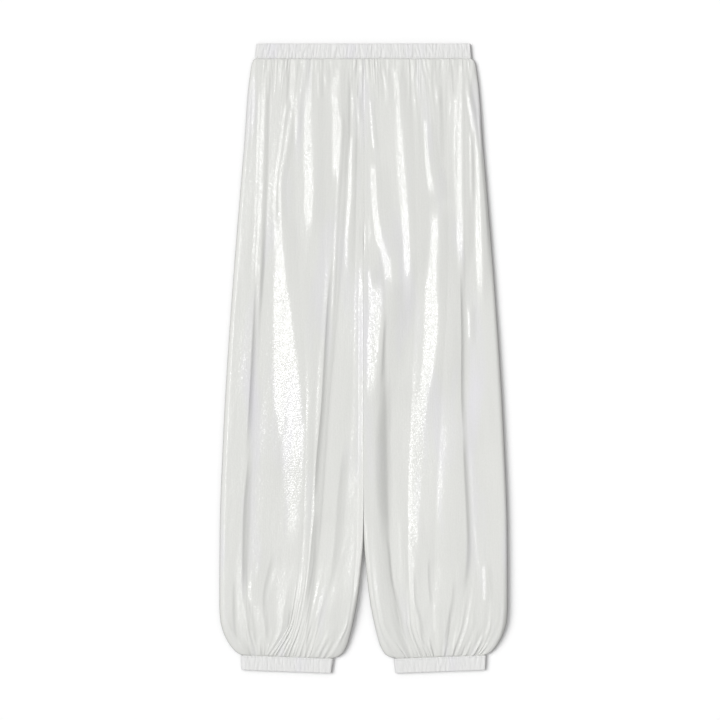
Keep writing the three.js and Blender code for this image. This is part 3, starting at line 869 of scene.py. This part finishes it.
def casingTree():
    tree = bpy.data.node_groups.new("gathered casing", "GeometryNodeTree")
    face = tree.interface
    face.new_socket("Ring", in_out="INPUT", socket_type="NodeSocketGeometry")
    for name in ("Height", "Wall", "Length", "Top Ratio", "Gather Width", "Gather Depth", "Scallop", "Seed"):
        face.new_socket(name, in_out="INPUT", socket_type="NodeSocketFloat")
    for name in ("Columns", "Rows"):
        face.new_socket(name, in_out="INPUT", socket_type="NodeSocketInt")
    face.new_socket("Material", in_out="INPUT", socket_type="NodeSocketMaterial")
    face.new_socket("Geometry", in_out="OUTPUT", socket_type="NodeSocketGeometry")
    given = addNode(tree, "NodeGroupInput").outputs

    def maths(operation, a, b=0.0, c=0.0):
        return addNode(tree, "ShaderNodeMath", {"operation": operation}, {0: a, 1: b, 2: c}).outputs[0]

    ring = addNode(tree, "GeometryNodeMeshToCurve", inputs={"Mesh": given["Ring"]}).outputs["Curve"]
    grid = addNode(
        tree,
        "GeometryNodeMeshGrid",
        inputs={"Size X": 1.0, "Size Y": 1.0, "Vertices X": given["Columns"], "Vertices Y": given["Rows"]},
    )
    position = addNode(tree, "GeometryNodeInputPosition").outputs[0]
    place = addNode(tree, "ShaderNodeSeparateXYZ", inputs={0: position})
    around = maths("ADD", place.outputs["X"], 0.5)
    along = addNode(
        tree, "GeometryNodeSampleCurve", {"mode": "FACTOR"}, {"Curves": ring, "Factor": around}
    ).outputs
    section = addNode(
        tree,
        "GeometryNodeCurvePrimitiveQuadrilateral",
        inputs={"Width": given["Wall"], "Height": given["Height"]},
    ).outputs["Curve"]
    radius = maths("MULTIPLY", given["Wall"], ringShape["corner"])
    rounded = addNode(
        tree,
        "GeometryNodeFilletCurve",
        {"mode": "POLY"},
        {"Curve": section, "Count": ringShape["cornerPoints"], "Radius": radius},
    ).outputs["Curve"]
    across = addNode(
        tree,
        "GeometryNodeSampleCurve",
        {"mode": "FACTOR"},
        {"Curves": rounded, "Factor": maths("ADD", place.outputs["Y"], 0.5)},
    ).outputs
    local = addNode(tree, "ShaderNodeSeparateXYZ", inputs={0: across["Position"]}).outputs
    up = maths("ADD", maths("DIVIDE", local["Y"], given["Height"]), 0.5)  # 0 at the seam, 1 at the free edge
    length = maths("MULTIPLY", around, given["Length"])

    def pleats(width, drift, offset):  # noise drawn out along the band's height, closed up round the ring
        angle = maths("MULTIPLY", around, 2 * math.pi)
        reach = maths("DIVIDE", given["Length"], maths("MULTIPLY", width, 2 * math.pi))
        vector = addNode(
            tree,
            "ShaderNodeCombineXYZ",
            inputs={
                "X": maths("MULTIPLY", maths("COSINE", angle), reach),
                "Y": maths("MULTIPLY", maths("SINE", angle), reach),
                "Z": maths("MULTIPLY_ADD", up, drift, maths("ADD", given["Seed"], offset)),
            },
        ).outputs[0]
        return addNode(
            tree, "ShaderNodeTexNoise", inputs={"Vector": vector, "Scale": 1.0, "Detail": 1.0}
        ).outputs["Fac"]

    down = maths("SUBTRACT", 1.0, up)
    broad = pleats(given["Gather Width"], pleatDrift["broad"], 0.0)
    broad = maths("ABSOLUTE", maths("MULTIPLY_ADD", broad, pleatShape["spread"], -pleatShape["spread"] / 2))
    fineWidth = maths("MULTIPLY", given["Gather Width"], pleatShape["fineWidth"])
    fine = pleats(fineWidth, pleatDrift["fine"], pleatDrift["fineSeed"])
    shallow = maths("MULTIPLY", fine, pleatShape["fine"])
    dent = maths("MULTIPLY_ADD", maths("MINIMUM", broad, 1.0), pleatShape["broad"], shallow)
    pinch = maths("MULTIPLY", maths("POWER", down, pleatShape["pinchFall"]), pleatShape["pinch"])
    press = maths("MULTIPLY", maths("ADD", dent, pinch), given["Gather Depth"])
    outwards = addNode(
        tree,
        "ShaderNodeVectorMath",
        {"operation": "CROSS_PRODUCT"},
        {0: along["Tangent"], 1: (0.0, 1.0, 0.0)},
    ).outputs[0]
    depth = maths("ADD", maths("SUBTRACT", local["X"], maths("MULTIPLY", given["Wall"], 0.5)), press)
    moved = addNode(
        tree, "ShaderNodeVectorMath", {"operation": "SCALE"}, {0: outwards, "Scale": depth}
    ).outputs[0]
    inputs = {0: along["Position"], 1: moved}
    pressed = addNode(tree, "ShaderNodeVectorMath", {"operation": "ADD"}, inputs).outputs[0]
    parts = addNode(tree, "ShaderNodeSeparateXYZ", inputs={0: pressed}).outputs
    narrowing = maths("MULTIPLY_ADD", maths("SUBTRACT", given["Top Ratio"], 1.0), up, 1.0)
    wave = maths("MULTIPLY", maths("SUBTRACT", fine, 0.5), given["Scallop"])
    final = addNode(
        tree,
        "ShaderNodeCombineXYZ",
        inputs={
            "X": maths("MULTIPLY", parts["X"], narrowing),
            "Y": maths("MULTIPLY_ADD", up, given["Height"], maths("MULTIPLY", wave, down)),
            "Z": maths("MAXIMUM", parts["Z"], 0.0),
        },
    ).outputs[0]
    height = maths("MULTIPLY", given["Height"], ringShape["mapHeight"])
    inputs = {"X": length, "Y": maths("MULTIPLY", place.outputs["Y"], height)}
    mapped = addNode(tree, "ShaderNodeCombineXYZ", inputs=inputs).outputs[0]
    marked = addNode(
        tree,
        "GeometryNodeStoreNamedAttribute",
        {"data_type": "FLOAT2", "domain": "CORNER"},
        {"Geometry": grid.outputs["Mesh"], "Name": "cloth", "Value": mapped},
    ).outputs[0]
    inputs = {"Geometry": marked, "Position": final}
    shaped = addNode(tree, "GeometryNodeSetPosition", inputs=inputs).outputs[0]
    inputs = {"Geometry": shaped, "Distance": ringShape["weld"]}
    merged = addNode(tree, "GeometryNodeMergeByDistance", inputs=inputs).outputs[0]
    smoothed = addNode(tree, "GeometryNodeSetShadeSmooth", inputs={"Geometry": merged}).outputs[0]
    realized = addNode(tree, "GeometryNodeRealizeInstances", inputs={"Geometry": smoothed}).outputs[0]
    dressed = addNode(
        tree, "GeometryNodeSetMaterial", inputs={"Geometry": realized, "Material": given["Material"]}
    ).outputs[0]
    addNode(tree, "NodeGroupOutput", inputs={"Geometry": dressed})
    return tree


def plainMesh(host, tree, values, name, place):  # the tree's result as a mesh object of its own, in its place
    modifier = host.modifiers.new("tree", "NODES")
    modifier.node_group = tree
    sockets = {item.name: item.identifier for item in tree.interface.items_tree if item.in_out == "INPUT"}
    for label, value in values.items():
        modifier[sockets[label]] = value
    bpy.context.view_layer.update()
    result = bpy.data.meshes.new_from_object(host.evaluated_get(bpy.context.evaluated_depsgraph_get()))
    result.transform(place)
    bpy.data.objects.remove(host)
    build = bmesh.new()
    build.from_mesh(result)
    bmesh.ops.recalc_face_normals(build, faces=build.faces)
    build.to_mesh(result)
    build.free()
    result.name = name
    return addObject(name, result)


def casingPlace(setup, hand, upwards):
    shiftX, shiftY = setup["shift"]
    place = Matrix.Translation((hand * shiftX * mm, shiftY * mm, 0))
    place = place @ Matrix.Rotation(hand * setup["turn"], 4, "Z")
    return place if upwards else place @ Matrix.Diagonal((1, -1, 1, 1))


def makeCasing(name, setup, tree, material, hand, upwards):
    host = addObject("ring", ringPath(setup["width"], setup["thickness"]))
    length = 2 * (setup["width"] - setup["thickness"]) + math.pi * setup["thickness"]
    values = {
        "Height": setup["height"] * mm,
        "Wall": setup["wall"] * mm,
        "Length": length * mm,
        "Top Ratio": setup["topRatio"],
        "Gather Width": setup["gatherWidth"] * mm,
        "Gather Depth": setup["gatherDepth"] * mm,
        "Scallop": setup["scallop"] * mm,
        "Seed": float(setup["seed"] + ringMesh["seedStep"] * hand),
        "Columns": int(length / ringMesh["columnWidth"]) + 1,
        "Rows": ringMesh["rows"],
        "Material": material,
    }
    return plainMesh(host, tree, values, name, casingPlace(setup, hand, upwards))


print("waistband and cuffs")
casings = casingTree()
cuffCasing["turn"] = cut["tilt"]
waistband = makeCasing("waistband_casing", waistbandCasing, casings, casingSatin, 0, True)
rightCuff = makeCasing("right_cuff_casing", cuffCasing, casings, casingSatin, -1, False)
leftCuff = makeCasing("left_cuff_casing", cuffCasing, casings, casingSatin, 1, False)
for casing, node, setup in (
    (waistband, "waistband", waistbandCasing),
    (rightCuff, "right_cuff", cuffCasing),
    (leftCuff, "left_cuff", cuffCasing),
):
    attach(casing, "root")
    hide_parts(node)
    area = sum(face.area for face in casing.data.polygons) / 2
    print(casing.name, "triangles", 2 * len(casing.data.polygons), "area", round(area, 4))

# Stitches: one row all round each casing, beside its seam, drawn a little coarse so that it shows
stitchRow = {
    "pitch": 3.4,
    "length": 2.5,
    "thickness": 0.6,
    "fromSeam": 2.4,
    "probe": 1.3,  # how far apart the row's places on the cloth are found
    "lowest": 0.12,
    "threadTwist": 0.9,
    "turnsPerWave": 3.2,
    "threadRelief": 0.08,
}


def sewingThread(setup):  # twisted polyester thread: dull, with slanting turns that catch a little light
    material = bpy.data.materials.new("twisted polyester thread")
    material.use_nodes = True
    tree = material.node_tree
    shader = tree.nodes["Principled BSDF"]
    place = addNode(tree, "ShaderNodeTexCoord").outputs["Object"]
    scale = 1 / (setup["turnsPerWave"] * setup["threadTwist"] * mm)
    inputs = {"Vector": place, "Scale": scale, "Distortion": 1.5}
    turns = addNode(tree, "ShaderNodeTexWave", {"bands_direction": "DIAGONAL"}, inputs)
    # painted light and shade: the colour is lighter on the raised turns and darker in the grooves between
    # them, following the bump
    colour = addNode(
        tree,
        "ShaderNodeMix",
        {"data_type": "RGBA"},
        {"Factor": turns.outputs["Fac"], 6: linearColour("#C9CAC8"), 7: linearColour("#DCDCDA")},
    )
    tree.links.new(colour.outputs[2], shader.inputs["Base Color"])
    inputs = {"Height": turns.outputs["Fac"], "Strength": 0.6, "Distance": setup["threadRelief"] * mm}
    bump = addNode(tree, "ShaderNodeBump", inputs=inputs)
    tree.links.new(bump.outputs["Normal"], shader.inputs["Normal"])
    shader.inputs["Roughness"].default_value = 0.55
    shader.inputs["IOR"].default_value = 1.5
    return material


def stitchTree():
    tree = bpy.data.node_groups.new("stitches along a seam", "GeometryNodeTree")
    face = tree.interface
    face.new_socket("Seam", in_out="INPUT", socket_type="NodeSocketGeometry")
    for name in ("Pitch", "Length", "Thickness"):
        face.new_socket(name, in_out="INPUT", socket_type="NodeSocketFloat")
    face.new_socket("Material", in_out="INPUT", socket_type="NodeSocketMaterial")
    face.new_socket("Geometry", in_out="OUTPUT", socket_type="NodeSocketGeometry")
    given = addNode(tree, "NodeGroupInput").outputs
    seam = addNode(tree, "GeometryNodeMeshToCurve", inputs={"Mesh": given["Seam"]}).outputs["Curve"]
    places = addNode(
        tree, "GeometryNodeCurveToPoints", {"mode": "LENGTH"}, {"Curve": seam, "Length": given["Pitch"]}
    ).outputs
    along = addNode(
        tree, "FunctionNodeAlignRotationToVector", {"axis": "X"}, {"Vector": places["Tangent"]}
    ).outputs[0]
    size = addNode(
        tree,
        "ShaderNodeCombineXYZ",
        inputs={"X": given["Length"], "Y": given["Thickness"], "Z": given["Thickness"]},
    ).outputs[0]
    thread = addNode(
        tree, "GeometryNodeMeshUVSphere", inputs={"Segments": 8, "Rings": 5, "Radius": 0.5}
    ).outputs["Mesh"]
    sewn = addNode(
        tree,
        "GeometryNodeInstanceOnPoints",
        inputs={"Points": places["Points"], "Instance": thread, "Rotation": along, "Scale": size},
    ).outputs[0]
    realized = addNode(tree, "GeometryNodeRealizeInstances", inputs={"Geometry": sewn}).outputs[0]
    smoothed = addNode(tree, "GeometryNodeSetShadeSmooth", inputs={"Geometry": realized}).outputs[0]
    dressed = addNode(
        tree, "GeometryNodeSetMaterial", inputs={"Geometry": smoothed, "Material": given["Material"]}
    ).outputs[0]
    addNode(tree, "NodeGroupOutput", inputs={"Geometry": dressed})
    return tree


def seamLine(casing, setup, place):  # a closed line on the casing's face, found by casting rays at it
    surface = BVHTree.FromObject(casing, bpy.context.evaluated_depsgraph_get())
    radius = setup["thickness"] / 2
    flat = setup["width"] / 2 - radius
    stations = []
    for side in (1, -1):  # the front and the end that follows it, then the back and its end
        stations += [(side * x, 90 * side) for x in np.arange(-flat, flat, stitchRow["probe"])]
        stations += [(side * flat, 90 * side - turn) for turn in range(0, 180, 20)]
    points = []
    for x, angle in stations:
        outwards = Vector((math.cos(math.radians(angle)), 0, math.sin(math.radians(angle))))
        middle = Vector((x, stitchRow["fromSeam"], radius))
        hit = surface.ray_cast(place @ ((middle + 3 * radius * outwards) * mm), place.to_3x3() @ -outwards)[0]
        if hit:
            points.append((hit.x, hit.y, max(hit.z, stitchRow["lowest"] * mm)))
    mesh = bpy.data.meshes.new("seam line")
    mesh.from_pydata(points, [(i, (i + 1) % len(points)) for i in range(len(points))], [])
    return mesh


print("stitches")
stitches = stitchTree()
thread = sewingThread(stitchRow)
for name, casing, setup, hand, upwards in (
    ("waistband_stitches", waistband, waistbandCasing, 0, True),
    ("right_cuff_stitches", rightCuff, cuffCasing, -1, False),
    ("left_cuff_stitches", leftCuff, cuffCasing, 1, False),
):
    values = {"Material": thread}
    for label in ("Pitch", "Length", "Thickness"):
        values[label] = stitchRow[label.lower()] * mm
    host = addObject("seam line", seamLine(casing, setup, casingPlace(setup, hand, upwards)))
    row = plainMesh(host, stitches, values, name, Matrix.Identity(4))
    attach(row, "root")
    print(name, "faces", len(row.data.polygons))

# Floor, lights and world
lightSetup = {
    "stripEnergy": 26,
    "stripSize": (0.24, 1.87),
    "stripPlace": (-1.1, 0.215, 3.1),
    "keyEnergy": 2.0,
    "keyAngle": 40,
    "keyPlace": (-5.2, 1.8, 7.4),
    "horizon": 0.18,
    "zenith": 0.72,
    "floorReach": 20,
    "floorBelow": 0.5 * mm,
}


def addLight(name, kind, place, energy):
    light = bpy.data.lights.new(name, kind)
    light.energy = energy
    made = addObject(name, light)
    made.location = place
    return made


def addStudio(setup):
    reach = setup["floorReach"]
    mesh = bpy.data.meshes.new("floor")
    corners = [(-reach, -reach, 0), (reach, -reach, 0), (reach, reach, 0), (-reach, reach, 0)]
    mesh.from_pydata(corners, [], [(0, 1, 2, 3)])
    floor = addObject("floor", mesh)
    floor.location.z = -setup["floorBelow"]
    mesh.materials.append(paleFloor())
    floor.visible_diffuse = False  # the paper throws no light back on the cloth's edges
    floor.visible_glossy = False
    strip = addLight("strip", "AREA", setup["stripPlace"], setup["stripEnergy"])
    strip.data.shape = "RECTANGLE"
    strip.data.size, strip.data.size_y = setup["stripSize"]
    strip.visible_camera = False
    strip.visible_diffuse = False  # it only draws the streaks
    key = addLight("key", "SUN", setup["keyPlace"], setup["keyEnergy"])
    key.data.angle = math.radians(setup["keyAngle"])
    key.rotation_euler = Vector(setup["keyPlace"]).to_track_quat("Z", "Y").to_euler()
    key.visible_glossy = False  # it only shades the folds
    world = bpy.data.worlds.new("studio")
    world.use_nodes = True
    tree = world.node_tree
    way = addNode(tree, "ShaderNodeTexCoord").outputs["Generated"]
    up = addNode(tree, "ShaderNodeSeparateXYZ", inputs={0: way}).outputs["Z"]
    inputs = {0: up, 1: 0.0, 2: 1.0, 3: setup["horizon"], 4: setup["zenith"]}
    glow = addNode(tree, "ShaderNodeMapRange", inputs=inputs)
    tree.nodes["Background"].inputs["Color"].default_value = (1, 1, 1, 1)
    tree.links.new(glow.outputs[0], tree.nodes["Background"].inputs["Strength"])
    scene.world = world
    scene.view_settings.view_transform = "Standard"
    scene.view_settings.look = "None"


addStudio(lightSetup)

print("finish")
